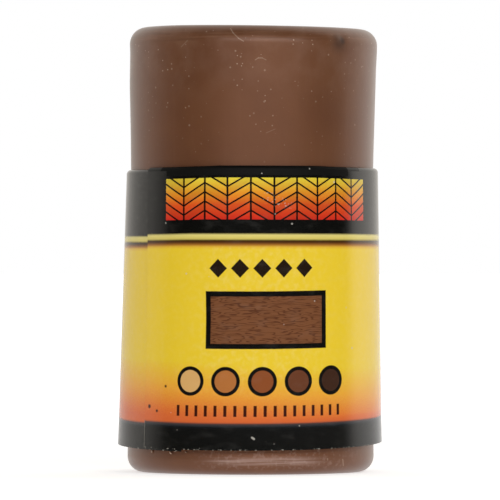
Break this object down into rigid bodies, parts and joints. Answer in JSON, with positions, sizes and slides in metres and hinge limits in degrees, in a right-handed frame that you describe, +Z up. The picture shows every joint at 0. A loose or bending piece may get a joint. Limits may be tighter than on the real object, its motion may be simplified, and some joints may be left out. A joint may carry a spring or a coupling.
{
  "type": "furniture repair wax stick",
  "caption": "Short round stick of brown soft wax for filling scratches in furniture, in a loose printed film sleeve that leaves its working end bare.",
  "frame": {"origin": "centre of the foot, on the surface that the stick stands on", "axes": "+Z up along the stick's axis to the working end; the side in the picture, with the seam to its left, faces -Y"},
  "size_m": [0.0274, 0.0274, 0.0459],
  "materials": {
    "brown_wax": "satin",
    "printed_film": "gloss"
  },
  "bodies": {
    "stick": {"wax_stick": "brown_wax"},
    "sleeve": {"label_sleeve": "printed_film"}
  },
  "joints": [
    {"name": "sleeve_slide", "type": "slide", "parent": "stick", "child": "sleeve", "axis": [0, 0, 1], "range_m": [-0.0025, 0]}
  ]
}
